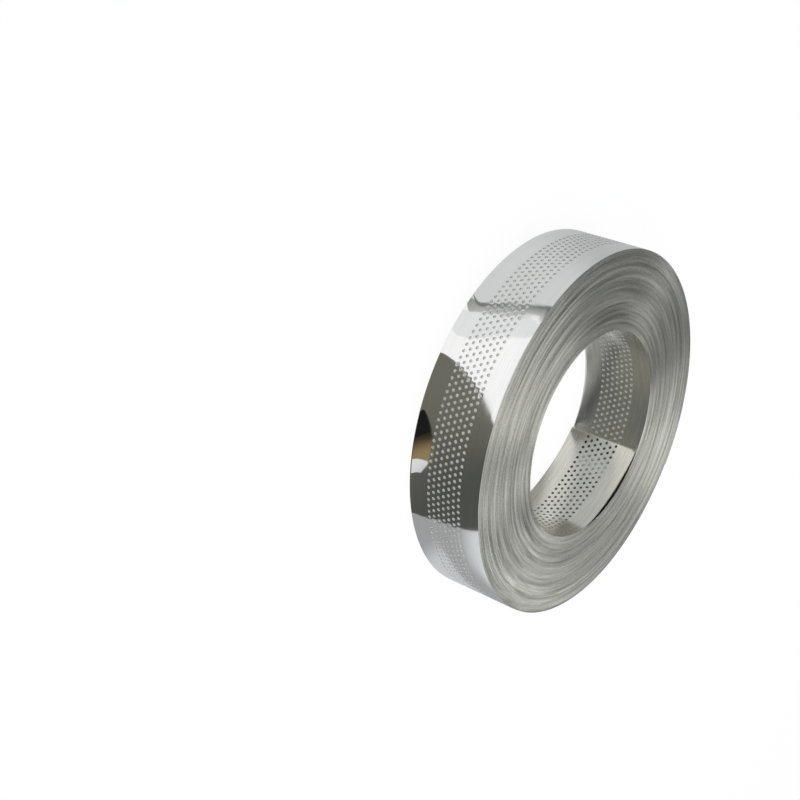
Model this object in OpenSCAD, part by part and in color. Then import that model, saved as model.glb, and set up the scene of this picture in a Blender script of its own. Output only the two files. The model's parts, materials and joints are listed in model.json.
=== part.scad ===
// A coil of thin metal strap, wound on itself around an open bore and lying on one end.
// Millimetres. Z runs up along the coil's axis, and X and Y lie across it.
// The origin is on the floor, in the middle of the bore.

/* [Strap] */
// Width of the strap
strap_w = 36; // [20:1:60]
// Thickness of the strap
strap_t = 0.5; // [0.4:0.1:1.2]
// Bevel left along the strap's slit edges
edge_bevel = 0.1; // [0.05:0.01:0.15]

/* [Coil] */
// Diameter of the bore, inside the innermost turn
bore_d = 96; // [50:1:200]
// Number of turns wound on each other
turns = 74; // [20:1:120]
// How far the winding wanders up and down along the axis, slowly, from the bore to the rim
slow_wander = 0.16; // [0.05:0.01:0.4]
// Number of turns in one slow wander to and fro
wander_turns = 26; // [12:1:60]
// How far a turn can lie above or below the slow wander
turn_wander = 0.12; // [0.05:0.01:0.4]

/* [Hidden] */

bore_r = bore_d / 2;
// The golden angle gives each turn a place of its own that never repeats
golden_angle = 137.5;

// Shift of every turn along the axis, from the bore outwards
shifts = [
  for (i = [0 : turns - 1])
    slow_wander * sin(360 * i / wander_turns) + turn_wander * sin(golden_angle * i)
];
// Height of every turn's lower edge: the lowest turn touches the floor
lower_edges = [for (shift = shifts) shift - min(shifts)];

// Bevelled edges of all turns at one end, from the bore outwards.
// The edges stand at the given heights, and inward is the direction from them into the strap, 1 or -1.
function end_outline(heights, inward) = [
  for (i = [0 : turns - 1])
    let (r = bore_r + i * strap_t, z = heights[i], bevel_z = z + inward * edge_bevel)
      each [
        [r, bevel_z],
        [r + edge_bevel, z],
        [r + strap_t - edge_bevel, z],
        [r + strap_t, bevel_z]
      ]
];

function reversed(points) = [for (i = [len(points) - 1 : -1 : 0]) points[i]];

// The wound strap as one turned ring: every turn keeps the strap's width and shows as a ridge on both ends
module strap_coil() {
  upper_edges = [for (z = lower_edges) z + strap_w];
  color("silver")
    rotate_extrude($fn = 360)
      polygon(concat(end_outline(lower_edges, 1), reversed(end_outline(upper_edges, -1))));
}

strap_coil();
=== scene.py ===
import json
import math

import bpy
import numpy as np
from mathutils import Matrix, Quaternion, Vector


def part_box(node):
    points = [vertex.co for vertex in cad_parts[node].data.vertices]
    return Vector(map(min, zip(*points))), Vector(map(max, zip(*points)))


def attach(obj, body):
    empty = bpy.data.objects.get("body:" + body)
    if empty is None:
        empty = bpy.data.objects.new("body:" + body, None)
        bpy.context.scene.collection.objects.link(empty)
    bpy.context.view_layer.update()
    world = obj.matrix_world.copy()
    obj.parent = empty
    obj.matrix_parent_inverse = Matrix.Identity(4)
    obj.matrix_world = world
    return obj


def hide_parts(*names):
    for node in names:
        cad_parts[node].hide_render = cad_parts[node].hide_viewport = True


# The coil lies on its end: Z runs up along its axis, and the origin is on the floor in the middle of
# the bore. The strap's free inner end is at endAngle. From there it winds outwards clockwise, seen from
# above, and "turn" counts how far along it a place is: 0 at the inner end, and "turns" at the outer end.

mm = 0.001
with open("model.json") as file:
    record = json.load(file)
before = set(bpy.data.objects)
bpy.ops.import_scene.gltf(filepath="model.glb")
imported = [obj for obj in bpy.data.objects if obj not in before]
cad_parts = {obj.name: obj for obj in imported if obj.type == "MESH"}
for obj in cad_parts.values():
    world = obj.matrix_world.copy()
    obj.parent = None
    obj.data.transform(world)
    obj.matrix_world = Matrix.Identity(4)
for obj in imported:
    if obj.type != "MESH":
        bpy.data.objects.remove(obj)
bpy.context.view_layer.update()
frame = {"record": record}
_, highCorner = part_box("strap_coil")
bore = next(m for m in frame["record"]["mounts"] if m["name"] == "bore")
print("frame loaded")

coil = {
    "rimRadius": highCorner.x,
    "height": highCorner.z,
    "boreRadius": bore["dims"]["r_mm"] * mm,
    "turns": 74,
    "endAngle": math.radians(90),
    "jointCover": 0.03,  # how far each free end covers the joint beneath it, in turns
}
# One more layer than there are turns lies across the wall, where the two ends overlap
coil["layer"] = (coil["rimRadius"] - coil["boreRadius"]) / (coil["turns"] + 1)

strap = {
    "width": 36 * mm,
    "edgeBevel": 0.1 * mm,
    "holePitch": 3 * mm,
    "holeDiameter": 1.5 * mm,
    "holeRows": 7,
    "holeSides": 12,
    "rimTilt": math.radians(3),  # how far punching has drawn the outer face down around each hole
    "innerRimShare": 0.3,  # how much of that the inner face has
    "rollOff": 0.05 * mm,  # how far the outer face falls away at the strap's edges
    "rollOffWidth": 3 * mm,
    "rollOffSteps": 7,
    "weldStep": (1e-6, 1e-6, 1e-3),  # along and across the strap, and as a share of its thickness
}
strap["rowStep"] = strap["holePitch"] * math.sin(math.radians(60))

# How the winding wanders up and down: slow waves, and a quick one that sets neighbouring turns apart
wander = {
    "turnsPerWave": [26, 9.3, 5.7, 360 / 137.5],
    "share": [0.45, 0.25, 0.2, 0.12],
    "phaseStep": 0.7,  # from one wave to the next, in radians
    "samples": 60000,
}

# The inner free end springs away from the wall
tail = {
    "length": 60 / 360,  # in turns
    "lift": 2.5 * mm,
    "endGap": 0.9 * mm,
}


def edgeWander(turn):
    # Each wave is its share times sin(2 pi turn / turnsPerWave + its phase), and they are added up
    turn = np.asarray(turn, float)
    waves = enumerate(zip(wander["turnsPerWave"], wander["share"]))
    return sum(
        share * np.sin(2 * np.pi * turn / length + wander["phaseStep"] * order)
        for order, (length, share) in waves
    )


wanderSamples = edgeWander(np.linspace(0, coil["turns"], wander["samples"]))
wanderLow, wanderHigh = wanderSamples.min(), wanderSamples.max()


def lowerEdge(turn):
    # The wander, stretched to fill the room between the box's height and the strap's width
    room = coil["height"] - strap["width"]
    return room * np.clip((edgeWander(turn) - wanderLow) / (wanderHigh - wanderLow), 0, 1)


def innerRadius(turn):
    # A spiral that grows by one layer a turn
    return coil["boreRadius"] + coil["layer"] * np.asarray(turn, float)


def angleOf(turn):
    # One full circle back from endAngle for every turn, which is clockwise from above
    return coil["endAngle"] - 2 * np.pi * np.asarray(turn, float)


def lengthAt(turn):
    # Length of the strap's middle line from its inner end, where its radius is r: 2 pi times the sum of
    # r turn and layer turn^2 / 2
    r = coil["boreRadius"] + coil["layer"] / 2
    return 2 * np.pi * (r * turn + coil["layer"] * turn**2 / 2)


def turnAt(length):
    # The same, solved for the turn: the root of r^2 + layer length / pi, less r, over the layer
    r = coil["boreRadius"] + coil["layer"] / 2
    return (np.sqrt(r * r + coil["layer"] * np.asarray(length) / np.pi) - r) / coil["layer"]


def wholePitches(turn):
    # How many hole pitches a place is from the strap's inner end. Lengths of strap join at whole ones.
    return int(round(float(lengthAt(turn)) / strap["holePitch"]))


def tailLift(turn):
    # With x from 0 at the free end to 1 where the strap is back on the wall without a kink, the lift is
    # a hump x (1 - x^2)^1.5, which is highest at x = 0.5, and an end gap that fades as (1 - x)^2
    x = np.clip(turn / tail["length"], 0, 1)
    highest = 0.5 * 0.75**1.5
    return tail["lift"] * x * (1 - x**2) ** 1.5 / highest + tail["endGap"] * (1 - x) ** 2


def makePiece(name, points, faces, materials, slots, loopNormals=None):
    mesh = bpy.data.meshes.new(name)
    mesh.from_pydata(points.tolist(), [], faces)
    for material in materials:
        mesh.materials.append(material)
    mesh.polygons.foreach_set("material_index", np.asarray(slots, np.int32))
    mesh.polygons.foreach_set("use_smooth", np.ones(len(faces), bool))
    mesh.update()
    if loopNormals is not None:
        mesh.normals_split_custom_set(loopNormals)
    piece = bpy.data.objects.new(name, mesh)
    bpy.context.scene.collection.objects.link(piece)
    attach(piece, "root")
    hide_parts("strap_coil")
    print(name, "made,", len(faces), "faces")
    return piece


def newNodes(name):
    material = bpy.data.materials.new(name)
    material.use_nodes = True
    tree = material.node_tree
    return material, tree, tree.nodes["Principled BSDF"]


def addNode(tree, kind, operation=None):
    node = tree.nodes.new(kind)
    if operation:
        node.operation = operation
    return node


streakNoise = {"scale": 1, "roughness": 0.62}


def streakGroup():
    # Noise at the place (radius times Across plus height times Along Z, direction from the axis times
    # Around), so that it is drawn out along the turns. Low and High are spread to 0 and 1.
    group = bpy.data.node_groups.new("woundStreaks", "ShaderNodeTree")
    for label, kind, value in [
        ("Across", "NodeSocketFloat", 1000.0),
        ("Along Z", "NodeSocketFloat", 0.0),
        ("Around", "NodeSocketFloat", 3.0),
        ("Detail", "NodeSocketFloat", 3.0),
        ("Low", "NodeSocketFloat", 0.3),
        ("High", "NodeSocketFloat", 0.7),
    ]:
        socket = group.interface.new_socket(label, in_out="INPUT", socket_type=kind)
        socket.default_value = value
    group.interface.new_socket("Value", in_out="OUTPUT", socket_type="NodeSocketFloat")
    links = group.links
    given = addNode(group, "NodeGroupInput")
    result = addNode(group, "NodeGroupOutput")
    place = addNode(group, "ShaderNodeTexCoord")
    split = addNode(group, "ShaderNodeSeparateXYZ")
    flat = addNode(group, "ShaderNodeCombineXYZ")
    radius = addNode(group, "ShaderNodeVectorMath", "LENGTH")
    direction = addNode(group, "ShaderNodeVectorMath", "NORMALIZE")
    around = addNode(group, "ShaderNodeVectorMath", "SCALE")
    onWay = addNode(group, "ShaderNodeSeparateXYZ")
    across = addNode(group, "ShaderNodeMath", "MULTIPLY")
    upward = addNode(group, "ShaderNodeMath", "MULTIPLY_ADD")
    joined = addNode(group, "ShaderNodeCombineXYZ")
    noise = addNode(group, "ShaderNodeTexNoise")
    noise.noise_dimensions = "3D"
    noise.inputs["Scale"].default_value = streakNoise["scale"]
    noise.inputs["Roughness"].default_value = streakNoise["roughness"]
    spread = addNode(group, "ShaderNodeMapRange")
    # the direction, times Around
    links.new(place.outputs["Object"], split.inputs[0])
    links.new(split.outputs["X"], flat.inputs["X"])
    links.new(split.outputs["Y"], flat.inputs["Y"])
    links.new(flat.outputs[0], direction.inputs[0])
    links.new(direction.outputs[0], around.inputs[0])
    links.new(given.outputs["Around"], around.inputs["Scale"])
    links.new(around.outputs[0], onWay.inputs[0])
    # the radius times Across, and the height times Along Z
    links.new(flat.outputs[0], radius.inputs[0])
    links.new(radius.outputs["Value"], across.inputs[0])
    links.new(given.outputs["Across"], across.inputs[1])
    links.new(split.outputs["Z"], upward.inputs[0])
    links.new(given.outputs["Along Z"], upward.inputs[1])
    links.new(across.outputs[0], upward.inputs[2])
    links.new(upward.outputs[0], joined.inputs["X"])
    links.new(onWay.outputs["X"], joined.inputs["Y"])
    links.new(onWay.outputs["Y"], joined.inputs["Z"])
    links.new(joined.outputs[0], noise.inputs["Vector"])
    links.new(given.outputs["Detail"], noise.inputs["Detail"])
    links.new(noise.outputs["Fac"], spread.inputs["Value"])
    links.new(given.outputs["Low"], spread.inputs["From Min"])
    links.new(given.outputs["High"], spread.inputs["From Max"])
    links.new(spread.outputs["Result"], result.inputs["Value"])
    return group


streaks = streakGroup()


def addStreaks(tree, **values):
    node = addNode(tree, "ShaderNodeGroup")
    node.node_tree = streaks
    for label, value in values.items():
        node.inputs[label.replace("_", " ")].default_value = value
    return node.outputs["Value"]


def colourBetween(tree, factor, colours, socket):
    mix = addNode(tree, "ShaderNodeMix")
    mix.data_type = "RGBA"
    tree.links.new(factor, mix.inputs["Factor"])
    for label, colour in zip("AB", colours):
        mix.inputs[label].default_value = (*colour, 1)
    tree.links.new(mix.outputs["Result"], socket)
    return mix


def valueBetween(tree, factor, low, high, socket):
    spread = addNode(tree, "ShaderNodeMapRange")
    tree.links.new(factor, spread.inputs["Value"])
    spread.inputs["To Min"].default_value = low
    spread.inputs["To Max"].default_value = high
    tree.links.new(spread.outputs["Result"], socket)


# The finishes of the strap's faces, with streaks between the first and the second of "colours"
polished = {
    "metallic": 1.0,
    "colours": ((0.86, 0.86, 0.85), (0.93, 0.935, 0.93)),
    "roughness": (0.08, 0.13),
    "lines": {"Across": 0, "Along_Z": 2600, "Around": 2, "Detail": 4},
    "haze": {"Across": 0, "Along_Z": 260, "Around": 5, "Detail": 3},
}

dull = {
    "metallic": 1.0,
    "colours": ((0.52, 0.515, 0.48), (0.68, 0.675, 0.64)),
    "roughness": (0.18, 0.28),
    "lines": {"Across": 0, "Along_Z": 1500, "Around": 3, "Detail": 5},
    "haze": {"Across": 0, "Along_Z": 300, "Around": 6, "Detail": 3},
}

# The turn under the outermost, which only shows through the holes
covered = {
    "metallic": 0.75,
    "colours": ((0.78, 0.78, 0.76), (0.9, 0.9, 0.88)),
    "roughness": (0.5, 0.62),
    "lines": {"Across": 0, "Along_Z": 1800, "Around": 3, "Detail": 4},
}

# The turn behind the innermost, seen through the holes from the bore. It is the dull face made lighter
# and more matt: painted light in the shade of the holes.
deepWithPaintedLight = {
    "metallic": 0.4,
    "colours": ((0.66, 0.66, 0.62), (0.78, 0.78, 0.74)),
    "roughness": (0.5, 0.62),
    "lines": {"Across": 0, "Along_Z": 1800, "Around": 3, "Detail": 4},
}

# The walls of the holes: a matt sheared finish, with a lighter colour that is painted light in the shade
# inside the holes
punchedWithPaintedLight = {
    "metallic": 0.4,
    "colours": ((0.70, 0.70, 0.68), (0.86, 0.86, 0.84)),
    "roughness": (0.4, 0.55),
    "lines": {"Across": 4000, "Along_Z": 900, "Around": 40, "Detail": 3},
}


def makeFace(name, finish):
    # The colour follows the lines, and the roughness the haze or else the lines too
    material, tree, shader = newNodes(name)
    shader.inputs["Metallic"].default_value = finish["metallic"]
    lines = addStreaks(tree, **finish["lines"])
    haze = addStreaks(tree, **finish["haze"]) if "haze" in finish else lines
    colourBetween(tree, lines, finish["colours"], shader.inputs["Base Color"])
    valueBetween(tree, haze, *finish["roughness"], shader.inputs["Roughness"])
    return material


slit = {
    "metallic": 1.0,
    "colours": ((0.29, 0.292, 0.258), (0.61, 0.612, 0.56)),
    "roughness": (0.36, 0.48),
    "drawnOut": 0.83,  # the gloss spreads across the turns and hardly along them
    "drawnTurn": 0.25,  # turns the spread from along the tangent to across it
    "grain": 0.24,  # how much fine nicks lighten and darken the edges
    "grooveDepth": 0.008 * mm,
    "bands": {"Across": 600, "Around": 1.4, "Detail": 5, "Low": 0.35, "High": 0.65},
    "nicks": {"Across": 2200, "Around": 90, "Detail": 2},
    "haze": {"Across": 400, "Around": 4, "Detail": 3},
    "grooves": {"Across": 1600, "Around": 0.8, "Detail": 2},
}


def makeSlitEdge():
    # Bands of light and dark turns, grained with nicks, and fine grooves along the turns
    material, tree, shader = newNodes("slitEdge")
    shader.inputs["Metallic"].default_value = slit["metallic"]
    shader.inputs["Anisotropic"].default_value = slit["drawnOut"]
    shader.inputs["Anisotropic Rotation"].default_value = slit["drawnTurn"]
    tangent = addNode(tree, "ShaderNodeTangent")
    tangent.direction_type = "RADIAL"
    tangent.axis = "Z"
    tree.links.new(tangent.outputs["Tangent"], shader.inputs["Tangent"])
    bands, nicks, haze, grooves = (
        addStreaks(tree, **slit[name]) for name in ("bands", "nicks", "haze", "grooves")
    )
    grained = addNode(tree, "ShaderNodeMath", "ADD")
    tree.links.new(bands, grained.inputs[0])
    valueBetween(tree, nicks, -slit["grain"], slit["grain"], grained.inputs[1])
    colourBetween(tree, grained.outputs["Value"], slit["colours"], shader.inputs["Base Color"])
    valueBetween(tree, haze, *slit["roughness"], shader.inputs["Roughness"])
    bump = addNode(tree, "ShaderNodeBump")
    bump.inputs["Distance"].default_value = slit["grooveDepth"]
    tree.links.new(grooves, bump.inputs["Height"])
    tree.links.new(bump.outputs["Normal"], shader.inputs["Normal"])
    return material


polishedFace = makeFace("polishedFace", polished)
dullFace = makeFace("dullFace", dull)
coveredFace = makeFace("coveredFace", covered)
deepFaceWithPaintedLight = makeFace("deepFaceWithPaintedLight", deepWithPaintedLight)
punchedWallWithPaintedLight = makeFace("punchedWallWithPaintedLight", punchedWithPaintedLight)
slitEdge = makeSlitEdge()
print("materials made")

# The turns that show their faces are lengths of strap with real holes. A length is laid out flat first, as
# u along it, v across and w through it, 0 at the inner face and 1 at the outer. Then it is wound onto the
# spiral. Its faces are of these kinds, which is also the order of its materials.
surface = {"outer": 0, "inner": 1, "hole": 2, "edge": 3}
# Both faces of the strap: w, the kind, and the order in which the corners of what lies on it are taken
bothFaces = [(1.0, surface["outer"], 1), (0.0, surface["inner"], -1)]


def holeCell():
    # One hole in its own cell: eight points on the cell's border, the hole's ring of points, and the
    # triangles between them, always taken to the side whose next point comes first
    a, b = strap["holePitch"] / 2, strap["rowStep"] / 2
    border = np.array([(a, 0), (a, b), (0, b), (-a, b), (-a, 0), (-a, -b), (0, -b), (a, -b)])
    corners, sides = len(border), strap["holeSides"]
    tie = 1e-6  # angles closer than this count as equal
    turnBy = 2 * np.pi * np.arange(sides) / sides
    ring = strap["holeDiameter"] / 2 * np.column_stack([np.cos(turnBy), np.sin(turnBy)])
    borderAngle = np.append(np.arctan2(border[:, 1], border[:, 0]) % (2 * np.pi), 2 * np.pi)
    ringAngle = np.append(turnBy, 2 * np.pi)
    triangles, i, j = [], 0, 0
    while i < corners or j < sides:
        p, q = i % corners, corners + j % sides
        if j == sides or (i < corners and borderAngle[i + 1] < ringAngle[j + 1] + tie):
            triangles.append((q, p, (i + 1) % corners))
            i += 1
        else:
            triangles.append((q, p, corners + (j + 1) % sides))
            j += 1
    return np.vstack([border, ring]), np.array(triangles)


def rowPlace(row):
    # The rows lie evenly to both sides of the strap's middle
    return (row - (strap["holeRows"] - 1) / 2) * strap["rowStep"]


def edgeProfile(side):
    # Across one margin, from the holes on the outer face round the strap's edge to the holes on the inner
    # face, as v and w. The points are closer where the outer face falls away.
    v0 = strap["holeRows"] * strap["rowStep"] / 2
    v1 = strap["width"] / 2
    bevel, t = strap["edgeBevel"], coil["layer"]
    falling = np.linspace(v1 - strap["rollOffWidth"], v1 - bevel, strap["rollOffSteps"])
    outer = [(v, 1.0) for v in (v0, *falling)]
    edge = [(v1, 1 - bevel / t), (v1, bevel / t)]
    inner = [(v1 - bevel, 0.0), (v0, 0.0)]
    return np.array([(side * v, w) for v, w in outer + edge + inner])


def addPart(parts, points, faces, kinds, middles=None):
    # "middles" has the hole's middle for every point on a hole's rim, and no number for all others
    parts["faces"].append(faces + sum(len(earlier) for earlier in parts["points"]))
    parts["points"].append(points)
    parts["kinds"].append(np.broadcast_to(kinds, len(faces)))
    parts["middles"].append(np.full((len(points), 2), np.nan) if middles is None else middles)


def addPunchedBand(parts, count):
    # Every hole's cell on both faces, and the hole's wall between them. Each second row is half a pitch
    # further on and has one hole fewer.
    cell, triangles = holeCell()
    sides = strap["holeSides"]
    row = np.repeat(np.arange(strap["holeRows"]), count)
    along = np.tile(np.arange(count), strap["holeRows"])
    keep = (row % 2 == 0) | (along < count - 1)
    row, along = row[keep], along[keep]
    u = (along + 0.5 + 0.5 * (row % 2)) * strap["holePitch"]
    middle = np.column_stack([u, rowPlace(row)])[:, None, :]
    hole = np.arange(len(middle))[:, None, None]
    skin = middle + cell
    onRing = np.arange(len(cell))[:, None] >= len(cell) - sides
    rim = np.where(onRing, middle, np.nan).reshape(-1, 2)
    for w, kind, order in bothFaces:
        flat = np.dstack([skin, np.full(skin.shape[:2], w)]).reshape(-1, 3)
        index = (hole * len(cell) + triangles[:, ::order]).reshape(-1, 3)
        addPart(parts, flat, index, kind, rim)
    ring = skin[:, -sides:]
    wall = [np.dstack([ring, np.full(ring.shape[:2], w)]) for w in (0.0, 1.0)]
    flat = np.concatenate(wall, axis=1).reshape(-1, 3)
    k = np.arange(sides)
    quad = np.column_stack([k, k + sides, (k + 1) % sides + sides, (k + 1) % sides])
    index = (hole * 2 * sides + quad).reshape(-1, 4)
    addPart(parts, flat, index, surface["hole"], np.repeat(middle, 2 * sides, axis=1).reshape(-1, 2))


def addHalfCells(parts, count):
    # Half a cell without a hole at both ends of each second row
    a, b = strap["holePitch"] / 2, strap["rowStep"] / 2
    quads = np.array([(0, 1, 3, 2), (2, 3, 5, 4)])
    for row in range(1, strap["holeRows"], 2):
        v = rowPlace(row)
        for u in (0.0, count * strap["holePitch"] - a):
            for w, kind, order in bothFaces:
                flat = np.array([(u + x, v + y, w) for y in (-b, 0, b) for x in (0, a)])
                addPart(parts, flat, quads[:, ::order], kind)


def addMargins(parts, count):
    # The profile of each margin, carried along the strap
    u = np.arange(2 * count + 1) * strap["holePitch"] / 2
    for side in (1, -1):
        profile = edgeProfile(side)
        flat = np.empty((len(profile), len(u), 3))
        flat[:, :, 0] = u
        flat[:, :, 1:] = profile[:, None, :]
        r, c = np.meshgrid(np.arange(len(profile) - 1), np.arange(len(u) - 1), indexing="ij")
        here = (r * len(u) + c).ravel()
        index = np.column_stack([here, here + 1, here + 1 + len(u), here + len(u)])
        between = (profile[1:, 1] + profile[:-1, 1]) / 2
        isFace = [between == 1, between == 0]
        kinds = np.select(isFace, [surface["outer"], surface["inner"]], surface["edge"])
        addPart(parts, flat.reshape(-1, 3), index[:, ::side], kinds[r.ravel()])


def addEnds(parts, count):
    # The square-cut ends: the strap's whole outline, with points where the rows' cells meet it
    halfBand = strap["holeRows"] * strap["rowStep"] / 2
    v = np.linspace(-halfBand, halfBand, 2 * strap["holeRows"] + 1)[1:-1]
    innerSide = np.column_stack([v[::-1], np.zeros(len(v))])
    outerSide = np.column_stack([v, np.ones(len(v))])
    outline = np.vstack([edgeProfile(1), innerSide, edgeProfile(-1)[::-1], outerSide])
    for u, order in ((0.0, 1), (count * strap["holePitch"], -1)):
        flat = np.column_stack([np.full(len(outline), u), outline])
        addPart(parts, flat, np.arange(len(outline))[None, ::order], surface["edge"])


def rollOffShare(v):
    # From 0 where the outer face starts to fall away to 1 at the strap's edge
    start = strap["width"] / 2 - strap["rollOffWidth"]
    return np.clip((np.abs(v) - start) / strap["rollOffWidth"], 0, 1)


def wound(length, flat):
    # Where flat places (u, v, w) come to lie on the spiral
    u, v, w = flat.T
    turn = turnAt(length["start"] + u)
    radius = innerRadius(turn) + coil["layer"] * w - length["rollOff"] * rollOffShare(v) ** 2 * w
    if length["lifted"]:
        radius = radius - tailLift(turn)
    angle = angleOf(turn)
    z = lowerEdge(turn) + strap["width"] / 2 + v
    return np.column_stack([radius * np.cos(angle), radius * np.sin(angle), z])


def curvedNormals(length, flat, middle, kind):
    # The normals of the wound faces and hole walls at flat places. Around each hole the faces are tilted
    # towards its middle, and where the strap is lifted they lean by the slope of the lift.
    u, v = flat[:, 0], flat[:, 1]
    turn = turnAt(length["start"] + u)
    angle = angleOf(turn)
    level = np.zeros(len(angle))
    radial = np.column_stack([np.cos(angle), np.sin(angle), level])
    forward = np.column_stack([np.sin(angle), -np.cos(angle), level])
    upward = np.array([0.0, 0.0, 1.0])
    if length["lifted"]:
        step = 1e-4  # of a turn
        way = 2 * step * 2 * np.pi * innerRadius(turn)
        slope = (tailLift(turn + step) - tailLift(turn - step)) / way
        radial = radial + forward * slope[:, None]
        radial /= np.linalg.norm(radial, axis=1, keepdims=True)
    fall = 2 * length["rollOff"] * rollOffShare(v) / strap["rollOffWidth"] * np.sign(v)
    inward = np.nan_to_num(middle - flat[:, :2]) / (strap["holeDiameter"] / 2)
    toMiddle = forward * inward[:, :1] + upward * inward[:, 1:]
    tilt = math.tan(strap["rimTilt"])
    outerSide = radial + upward * fall[:, None] + tilt * toMiddle
    innerSide = -radial + tilt * strap["innerRimShare"] * toMiddle
    kind = kind[:, None]
    isFace = [kind == surface["outer"], kind == surface["inner"]]
    normal = np.select(isFace, [outerSide, innerSide], toMiddle)
    return normal / np.maximum(np.linalg.norm(normal, axis=1, keepdims=True), 1e-9)


def flatNormals(corners):
    # Each face's own normal, from the area that its corners go round
    arm = corners - corners[:, :1]
    area = np.cross(arm, np.roll(arm, -1, axis=1)).sum(axis=1)
    area /= np.linalg.norm(area, axis=1, keepdims=True)
    return np.repeat(area[:, None, :], corners.shape[1], axis=1)


def perforatedStrap(name, firstTurn, lastTurn, outerFace, innerFace, lifted=False):
    # A length of strap from one place along the coil to another, with its holes and square-cut ends. Only
    # the outermost turn falls away at its edges.
    firstPitch, lastPitch = wholePitches(firstTurn), wholePitches(lastTurn)
    length = {
        "start": firstPitch * strap["holePitch"],
        "rollOff": strap["rollOff"] if lastTurn >= coil["turns"] else 0.0,
        "lifted": lifted,
    }
    parts = {"points": [], "faces": [], "kinds": [], "middles": []}
    for addTo in (addPunchedBand, addHalfCells, addMargins, addEnds):
        addTo(parts, lastPitch - firstPitch)
    flat, middles = np.vstack(parts["points"]), np.vstack(parts["middles"])
    # points that several parts share become one
    keys = np.round(flat / strap["weldStep"]).astype(np.int64)
    _, firstOf, shared = np.unique(keys, axis=0, return_index=True, return_inverse=True)
    shared = shared.ravel()
    points = wound(length, flat[firstOf])
    faces, normals = [], []
    for index, kind in zip(parts["faces"], parts["kinds"]):
        index = index[:, ::-1]  # winding clockwise turns the flat strap's faces inside out
        corner = index.ravel()
        kindAt = np.repeat(kind, index.shape[1])
        normal = curvedNormals(length, flat[corner], middles[corner], kindAt).reshape(*index.shape, 3)
        isEdge = kind == surface["edge"]
        if isEdge.any():
            normal[isEdge] = flatNormals(points[shared[index[isEdge]]])
        faces.extend(shared[index].tolist())
        normals.append(normal.reshape(-1, 3))
    materials = [outerFace, innerFace, punchedWallWithPaintedLight, slitEdge]
    makePiece(name, points, faces, materials, np.concatenate(parts["kinds"]), np.vstack(normals))


# Places along the strap, in turns from its inner end
innerEnd = 1 + tail["length"] + coil["jointCover"]
behindEnd = innerEnd + 1
outerStart = coil["turns"] - 1 - coil["jointCover"]
beneathStart = coil["turns"] - 2 - coil["jointCover"]
perforatedStrap("outerTurn", outerStart, coil["turns"], polishedFace, dullFace)
perforatedStrap("turnBeneath", beneathStart, outerStart, coveredFace, dullFace)
perforatedStrap("innerTurn", 0, innerEnd, dullFace, dullFace, lifted=True)
perforatedStrap("turnBehind", innerEnd, behindEnd, dullFace, deepFaceWithPaintedLight)

# The edges of all the turns between make both ends of the coil
edges = {
    "stepsPerTurn": 200,
    "bevelIn": 0.12 * mm,
    "bevelOut": 0.08 * mm,
    "sharpAngle": math.radians(25),
}


def woundEdges(name, side):
    # Half the strap's width, as a closed bar of six sides carried along the spiral: of each ring's points,
    # two lie at half the coil's height and four go round the strap's bevelled edge
    joints = np.array([wholePitches(behindEnd), wholePitches(beneathStart)])
    first, last = turnAt(joints * strap["holePitch"])
    steps = int(round((last - first) * edges["stepsPerTurn"]))
    turn = np.linspace(first, last, steps + 1)
    t, bevelIn, bevelOut = coil["layer"], edges["bevelIn"], edges["bevelOut"]
    across = np.array([0, 0, bevelIn, t - bevelOut, t, t])
    below = np.array([0, bevelIn, 0, 0, bevelOut, 0])
    tip = lowerEdge(turn) + (strap["width"] if side > 0 else 0)
    radius = innerRadius(turn)[:, None] + across
    z = tip[:, None] - side * below
    z[:, [0, -1]] = coil["height"] / 2
    angle = angleOf(turn)[:, None]
    points = np.dstack([radius * np.cos(angle), radius * np.sin(angle), z]).reshape(-1, 3)
    sides = len(across)
    i, k = np.meshgrid(np.arange(steps), np.arange(sides), indexing="ij")
    i, k = i.ravel(), k.ravel()
    here, nextSide = i * sides + k, i * sides + (k + 1) % sides
    index = np.column_stack([here, here + sides, nextSide + sides, nextSide])[:, ::side]
    caps = np.array([np.arange(sides)[::-1], np.arange(sides) + steps * sides])[:, ::side]
    faces = index.tolist() + caps.tolist()
    piece = makePiece(name, points, faces, [slitEdge], np.zeros(len(faces)))
    piece.data.set_sharp_from_angle(angle=edges["sharpAngle"])


woundEdges("upperEdges", 1)
woundEdges("lowerEdges", -1)

# Around the coil are a floor, the cards that it mirrors, the lamps and the camera
floorLook = {"base": 0.9, "glow": 1.05, "glowShare": 0.88, "halfSize": 6.0, "sunk": 0.03 * mm}


def emptiedNodes(name):
    material = bpy.data.materials.new(name)
    material.use_nodes = True
    tree = material.node_tree
    tree.nodes.clear()
    return material, tree, addNode(tree, "ShaderNodeOutputMaterial")


def makeSheet(name, points, material):
    mesh = bpy.data.meshes.new(name)
    mesh.from_pydata(points, [], [tuple(range(len(points)))])
    mesh.materials.append(material)
    sheet = bpy.data.objects.new(name, mesh)
    bpy.context.scene.collection.objects.link(sheet)
    return sheet


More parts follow.
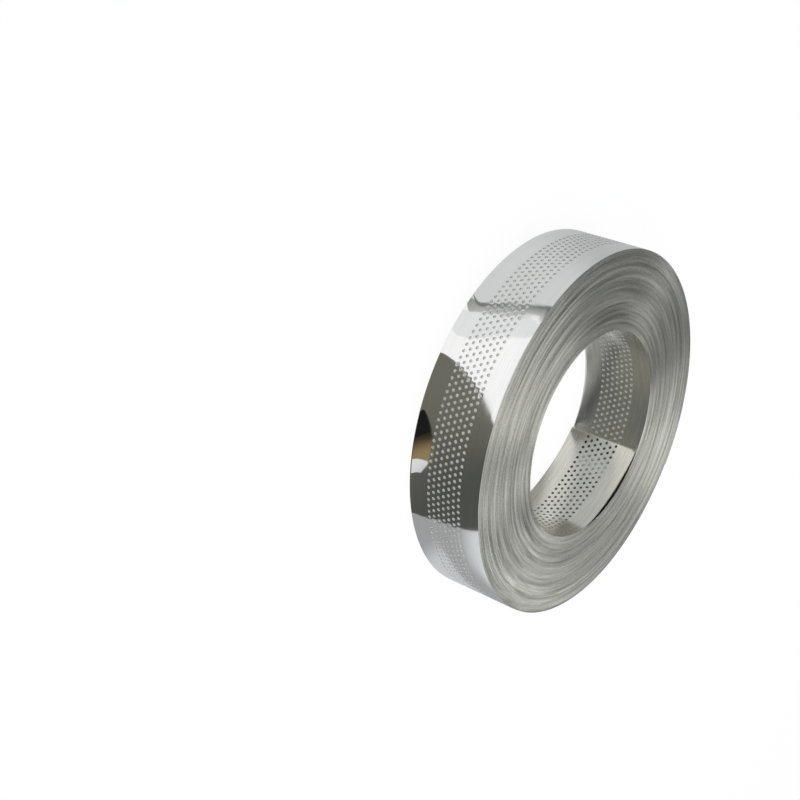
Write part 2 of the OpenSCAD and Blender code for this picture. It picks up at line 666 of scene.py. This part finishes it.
def makeFloor():
    # A matt floor that glows for the camera, in mirrors and through glass, so that it looks evenly pale
    material, tree, output = emptiedNodes("paleFloor")
    matt = addNode(tree, "ShaderNodeBsdfDiffuse")
    matt.inputs["Color"].default_value = (*[floorLook["base"]] * 3, 1)
    glow = addNode(tree, "ShaderNodeEmission")
    glow.inputs["Color"].default_value = (1, 1, 1, 1)
    glow.inputs["Strength"].default_value = floorLook["glow"]
    path = addNode(tree, "ShaderNodeLightPath")
    seen = addNode(tree, "ShaderNodeMath", "MAXIMUM")
    seenToo = addNode(tree, "ShaderNodeMath", "MAXIMUM")
    share = addNode(tree, "ShaderNodeMath", "MULTIPLY")
    share.inputs[1].default_value = floorLook["glowShare"]
    mix = addNode(tree, "ShaderNodeMixShader")
    tree.links.new(path.outputs["Is Camera Ray"], seen.inputs[0])
    tree.links.new(path.outputs["Is Glossy Ray"], seen.inputs[1])
    tree.links.new(seen.outputs[0], seenToo.inputs[0])
    tree.links.new(path.outputs["Is Transmission Ray"], seenToo.inputs[1])
    tree.links.new(seenToo.outputs[0], share.inputs[0])
    tree.links.new(share.outputs[0], mix.inputs[0])
    tree.links.new(matt.outputs[0], mix.inputs[1])
    tree.links.new(glow.outputs[0], mix.inputs[2])
    tree.links.new(mix.outputs[0], output.inputs["Surface"])
    far = floorLook["halfSize"]
    floor = makeSheet("floor", [(-far, -far, 0), (far, -far, 0), (far, far, 0), (-far, far, 0)], material)
    floor.location.z = -floorLook["sunk"]


makeFloor()

# Thin glowing cards lie on the floor around the coil and inside its bore, and three stand upright across
# the bore. The camera, diffuse light and shadows don't see them, and only the metal's gloss shows them, so
# they are painted reflections that give the metal its light and dark zones. An outline is in millimetres:
# X and Y on the floor at "height", or Y and Z at "x". The colour runs from the first to the second between
# the places "from" and "to", and "clouds" is how far it wavers on the way.
cards = {
    "paleCard": {
        "height": 0.2,
        "colours": ((0.665, 0.675, 0.675), (0.5, 0.51, 0.515)),
        "from": (-60, -66),
        "to": (-73, 3),
        "outline": [
            (-36, -74), (-39, -79), (-43, -83), (-60, -90.5), (-80, -96), (-110, -103),
            (-150, -105), (-176, -30), (-165, 60), (-115, 90), (-84, 60), (-80, 20), (-76, -30),
        ],
    },
    "softBand": {
        "height": 0.3,
        "colours": ((0.26, 0.265, 0.26), (0.6, 0.605, 0.6)),
        "from": (-90, -98),
        "to": (-82, -115),
        "outline": [
            (-34, -76), (-38, -79), (-43, -83), (-60, -90), (-80, -96), (-100, -101), (-110, -108),
            (-100, -120), (-88, -119), (-84, -111), (-67, -104), (-54, -97), (-45, -91), (-38, -86),
            (-33, -82),
        ],
    },
    "darkLine": {
        "height": 0.5,
        "colours": ((0.2, 0.205, 0.2), (0.13, 0.135, 0.13)),
        "from": (-50, -86),
        "to": (-90, -100),
        "outline": [
            (-37, -75), (-39, -79), (-43, -83), (-60, -90), (-80, -96), (-95, -99), (-104, -105),
            (-94, -117), (-92, -116), (-97, -105), (-88, -100.5), (-71, -96.5), (-60, -92.5),
            (-44, -86), (-39, -82),
        ],
    },
    "gleamLine": {
        "height": 0.6,
        "colours": ((0.8, 0.8, 0.8), (0.9, 0.9, 0.9)),
        "from": (-68, -102),
        "to": (-82, -112),
        "outline": [
            (-66, -101.5), (-76, -104), (-86, -109), (-84, -118), (-82, -117), (-83, -111),
            (-75, -106),
        ],
    },
    "lightCard": {
        "height": 0.25,
        "colours": ((0.82, 0.825, 0.83), (0.8, 0.81, 0.81)),
        "from": (-40, -90),
        "to": (-80, -115),
        "outline": [
            (-28, -78), (-34, -83), (-43, -89), (-54, -96), (-67, -103), (-82, -113), (-88, -124),
            (-80, -134), (-68, -128), (-56, -119), (-46, -112), (-38, -107), (-30, -100),
            (-24, -92), (-21, -85), (-22, -79),
        ],
    },
    "darkCard": {
        "height": 0.3,
        "colours": ((0.16, 0.155, 0.128), (0.08, 0.083, 0.073)),
        "from": (0, -100),
        "to": (75, -85),
        "outline": [
            (-5, -76), (-9, -82), (-11, -89), (-11, -101), (-7, -115), (-1, -126), (8, -134),
            (22, -146), (44, -172), (100, -160), (150, -115), (156, -94), (136, -82), (114, -71),
            (102, -66.5), (88, -64.5), (78, -63.8), (68, -62.3), (61, -62.2), (52, -62), (30, -66),
        ],
    },
    "blackCard": {
        "height": 0.5,
        "colours": ((0.012, 0.012, 0.012), (0.012, 0.012, 0.012)),
        "from": (0, 0),
        "to": (1, 0),
        "outline": [
            (16, -77), (15.5, -83), (15.5, -86), (19, -89), (24.5, -91.6), (29, -92.4), (34, -92),
            (34, -76),
        ],
    },
    "tanCard": {
        "height": 0.7,
        "colours": ((0.03, 0.026, 0.02), (0.28, 0.21, 0.1)),
        "from": (29, -90),
        "to": (39, -87),
        "outline": [
            (27, -74), (27.5, -84), (28.5, -91), (30, -92.3), (33.5, -92.2), (39, -90.8),
            (44, -87.3), (42, -83), (38, -78), (37, -74),
        ],
    },
    "whiteCard": {
        "height": 0.9,
        "colours": ((0.74, 0.75, 0.75), (0.62, 0.63, 0.63)),
        "from": (40, -84),
        "to": (48, -82),
        "outline": [
            (35, -74), (36.3, -78), (40, -82.2), (44.4, -86.2), (44.8, -86.2), (45.6, -84),
            (46.4, -79.2), (46.2, -78.8), (43.5, -76.4), (40, -73),
        ],
    },
    "lowCard": {
        "height": 0.25,
        "colours": ((0.36, 0.37, 0.375), (0.68, 0.7, 0.71)),
        "from": (100, -50),
        "to": (121, -56),
        "outline": [
            (52, -66), (68, -68), (80, -70), (102, -72), (118, -79), (150, -96), (178, -30),
            (180, 50), (130, 100), (84, 55), (78, 20), (74, -30),
        ],
    },
    "lowRimCard": {
        "height": 0.3,
        "colours": ((0.36, 0.37, 0.375), (0.58, 0.6, 0.61)),
        "from": (78, -50),
        "to": (86, -32),
        "outline": [
            (70, -47), (80, -52), (88, -44), (95, -30), (98, -10), (97, 20), (92, 44), (80, 44),
            (74, 0),
        ],
    },
    "backGreyCard": {
        "height": 0.2,
        "colours": ((0.42, 0.43, 0.43), (0.74, 0.75, 0.75)),
        "from": (90, 60),
        "to": (40, 100),
        "outline": [
            (70, 36), (110, 66), (150, 110), (120, 160), (80, 190), (50, 150), (34, 110), (28, 74),
            (50, 56),
        ],
    },
    "backDarkCard": {
        "height": 0.3,
        "colours": ((0.13, 0.13, 0.115), (0.22, 0.22, 0.2)),
        "from": (20, 90),
        "to": (-30, 120),
        "outline": [
            (24, 74), (28, 96), (40, 130), (36, 170), (0, 186), (-30, 150), (-34, 110), (-26, 74),
            (0, 78),
        ],
    },
    "backPaleCard": {
        "height": 0.2,
        "colours": ((0.84, 0.85, 0.85), (0.66, 0.67, 0.67)),
        "from": (-40, 90),
        "to": (-90, 60),
        "outline": [
            (-36, 70), (-44, 100), (-60, 150), (-110, 150), (-140, 100), (-96, 66), (-66, 44),
        ],
    },
    "boreFloorDark": {
        "height": 0.3,
        "colours": ((0.17, 0.175, 0.175), (0.42, 0.425, 0.41)),
        "clouds": 0.5,
        "from": (-8, 31),
        "to": (-27, 34),
        "outline": [
            (0, 47.5), (0, 24), (0, 0), (0, -24), (0, -47.5), (-33, -34), (-47.5, 0), (-33, 34),
        ],
    },
    "boreFloorLight": {
        "height": 0.3,
        "colours": ((0.96, 0.97, 0.95), (0.5, 0.505, 0.48)),
        "clouds": 0.2,
        "from": (14, 34),
        "to": (28, 32),
        "outline": [
            (0, 47.5), (0, 24), (0, 0), (0, -24), (0, -47.5), (33, -34), (47.5, 0), (33, 34),
        ],
    },
    "boreUprightDark": {
        "x": -0.2,
        "colours": ((0.155, 0.162, 0.165), (0.29, 0.29, 0.24)),
        "clouds": 0.3,
        "from": (26, 20),
        "to": (30, 20),
        "outline": [(-47, 0), (-47, 17), (-47, 34), (0, 34), (47, 34), (47, 17), (47, 0), (0, 0)],
    },
    "boreUprightLight": {
        "x": 0.2,
        "colours": ((0.61, 0.63, 0.63), (0.96, 0.96, 0.89)),
        "clouds": 0.2,
        "from": (20, 18),
        "to": (20, 27),
        "outline": [(-47, 0), (-47, 17), (-47, 34), (0, 34), (47, 34), (47, 17), (47, 0), (0, 0)],
    },
    "boreUprightLow": {
        "x": 0.4,
        "colours": ((0.27, 0.27, 0.235), (0.44, 0.44, 0.4)),
        "from": (46, 4),
        "to": (40, 14),
        "outline": [(47, 0), (47, 8), (46.5, 15), (42, 13), (38, 7), (37, 0), (42, 0)],
    },
}


def roundedOutline(corners, steps=6):
    # A closed curve through the corners. Each stretch is a cubic of t, from 0 at one corner to 1 at the
    # next, and at each corner the curve runs in the direction from the corner before to the one after.
    p = np.array(corners, float)
    before, after, beyond = np.roll(p, 1, 0), np.roll(p, -1, 0), np.roll(p, -2, 0)
    t = (np.arange(steps) / steps)[None, :, None]
    p, before, after, beyond = (q[:, None, :] for q in (p, before, after, beyond))
    curve = 0.5 * (
        2 * p
        + (after - before) * t
        + (2 * before - 5 * p + 4 * after - beyond) * t**2
        + (3 * p - before - 3 * after + beyond) * t**3
    )
    return curve.reshape(-1, 2)


def cardPlaces(card, flat):
    # Where flat points of a card lie: on the floor, or upright across the bore
    a, b = np.atleast_2d(np.array(flat, float)).T
    if "x" in card:
        return np.column_stack([np.full(len(a), card["x"]), a, b]) * mm
    return np.column_stack([a, b, np.full(len(a), card["height"])]) * mm


clouds = {"scale": 60, "detail": 2, "low": 0.3, "high": 0.7}


def makeCard(name, card):
    # The share of the second colour is a smooth step of s plus the clouds, where s is 0 at "from", 1 at
    # "to" and grows evenly along the straight line between them
    material, tree, output = emptiedNodes(name)
    start, end = (cardPlaces(card, card[key])[0] for key in ("from", "to"))
    way = (end - start) / ((end - start) @ (end - start))
    place = addNode(tree, "ShaderNodeTexCoord")
    along = addNode(tree, "ShaderNodeVectorMath", "DOT_PRODUCT")
    along.inputs[1].default_value = way
    spread = addNode(tree, "ShaderNodeMapRange")
    spread.interpolation_type = "SMOOTHSTEP"
    spread.inputs["From Min"].default_value = start @ way
    spread.inputs["From Max"].default_value = start @ way + 1
    noise = addNode(tree, "ShaderNodeTexNoise")
    noise.inputs["Scale"].default_value = clouds["scale"]
    noise.inputs["Detail"].default_value = clouds["detail"]
    cloud = addNode(tree, "ShaderNodeMapRange")
    cloud.inputs["From Min"].default_value = clouds["low"]
    cloud.inputs["From Max"].default_value = clouds["high"]
    cloud.inputs["To Min"].default_value = -card.get("clouds", 0)
    cloud.inputs["To Max"].default_value = card.get("clouds", 0)
    added = addNode(tree, "ShaderNodeMath", "ADD")
    # The card's colour glows: a painted reflection, which only the metal's gloss shows
    glow = addNode(tree, "ShaderNodeEmission")
    tree.links.new(place.outputs["Object"], along.inputs[0])
    tree.links.new(place.outputs["Object"], noise.inputs["Vector"])
    tree.links.new(along.outputs["Value"], spread.inputs["Value"])
    tree.links.new(noise.outputs["Fac"], cloud.inputs["Value"])
    tree.links.new(spread.outputs["Result"], added.inputs[0])
    tree.links.new(cloud.outputs["Result"], added.inputs[1])
    mix = colourBetween(tree, added.outputs["Value"], card["colours"], glow.inputs["Color"])
    mix.clamp_factor = False
    tree.links.new(glow.outputs[0], output.inputs["Surface"])
    points = cardPlaces(card, roundedOutline(card["outline"]))
    sheet = makeSheet(name, points.tolist(), material)
    # Hidden from the camera, from diffuse light and from shadows, so that only gloss shows the painted
    # reflection
    sheet.visible_camera = False
    sheet.visible_diffuse = False
    sheet.visible_shadow = False
    sheet.visible_transmission = False


for name, card in cards.items():
    makeCard(name, card)
print("cards laid,", len(cards))

air = {"colour": (0.95, 0.97, 1.0), "strength": 0.315}


def makeWorld():
    # Even and soft, and as pale as the floor where the camera looks past it
    world = bpy.data.worlds.new("studio")
    bpy.context.scene.world = world
    world.use_nodes = True
    tree = world.node_tree
    soft = tree.nodes["Background"]
    soft.inputs["Color"].default_value = (*air["colour"], 1)
    soft.inputs["Strength"].default_value = air["strength"]
    pale = addNode(tree, "ShaderNodeBackground")
    pale.inputs["Color"].default_value = (1, 1, 1, 1)
    path = addNode(tree, "ShaderNodeLightPath")
    mix = addNode(tree, "ShaderNodeMixShader")
    tree.links.new(path.outputs["Is Camera Ray"], mix.inputs[0])
    tree.links.new(soft.outputs[0], mix.inputs[1])
    tree.links.new(pale.outputs[0], mix.inputs[2])
    tree.links.new(mix.outputs[0], tree.nodes["World Output"].inputs["Surface"])


makeWorld()

# Square lamps turned to the middle of the bore, with place and size in metres and energy in watts
lamps = {
    "highLamp": {"place": (0, 0.094, 0.895), "size": 0.4, "energy": 2.3},
    "rightBackLamp": {"place": (0.202, 0.753, 0.45), "size": 0.12, "energy": 0.39},
    "leftBackLamp": {"place": (-0.15, 0.559, 0.689), "size": 0.12, "energy": 0.42},
    "sideLamp": {"place": (0.14, -0.05, 0.19), "size": 0.12, "energy": 0.09},
    "frontLamp": {"place": (0.24, -0.91, 0.42), "size": 0.4, "energy": 1.9},
}
for name, lamp in lamps.items():
    data = bpy.data.lights.new(name, "AREA")
    data.size = lamp["size"]
    data.energy = lamp["energy"]
    made = bpy.data.objects.new(name, data)
    made.location = lamp["place"]
    made.rotation_mode = "QUATERNION"
    made.rotation_quaternion = (-Vector(lamp["place"])).to_track_quat("-Z", "Y")
    bpy.context.scene.collection.objects.link(made)
print("lamps hung,", len(lamps))

# The camera is rolled, so that the coil looks as if it stands on its rim
view = {
    "place": Vector((0, -588.5, 332.5)) * mm,
    "aim": Vector((13.1, -126.1, 18.3)) * mm,
    "roll": math.radians(111.24),
    "lens": 66.15,
    "sensor": 36,
    "nearest": 0.01,  # nothing closer than this is seen, in metres
}
cameraData = bpy.data.cameras.new("camera")
cameraData.lens = view["lens"]
cameraData.sensor_width = view["sensor"]
cameraData.clip_start = view["nearest"]
camera = bpy.data.objects.new("camera", cameraData)
camera.location = view["place"]
camera.rotation_mode = "QUATERNION"
aimed = (view["aim"] - view["place"]).to_track_quat("-Z", "Y")
camera.rotation_quaternion = aimed @ Quaternion((0, 0, 1), view["roll"])
bpy.context.scene.collection.objects.link(camera)
bpy.context.scene.camera = camera
bpy.context.scene.view_settings.view_transform = "Standard"
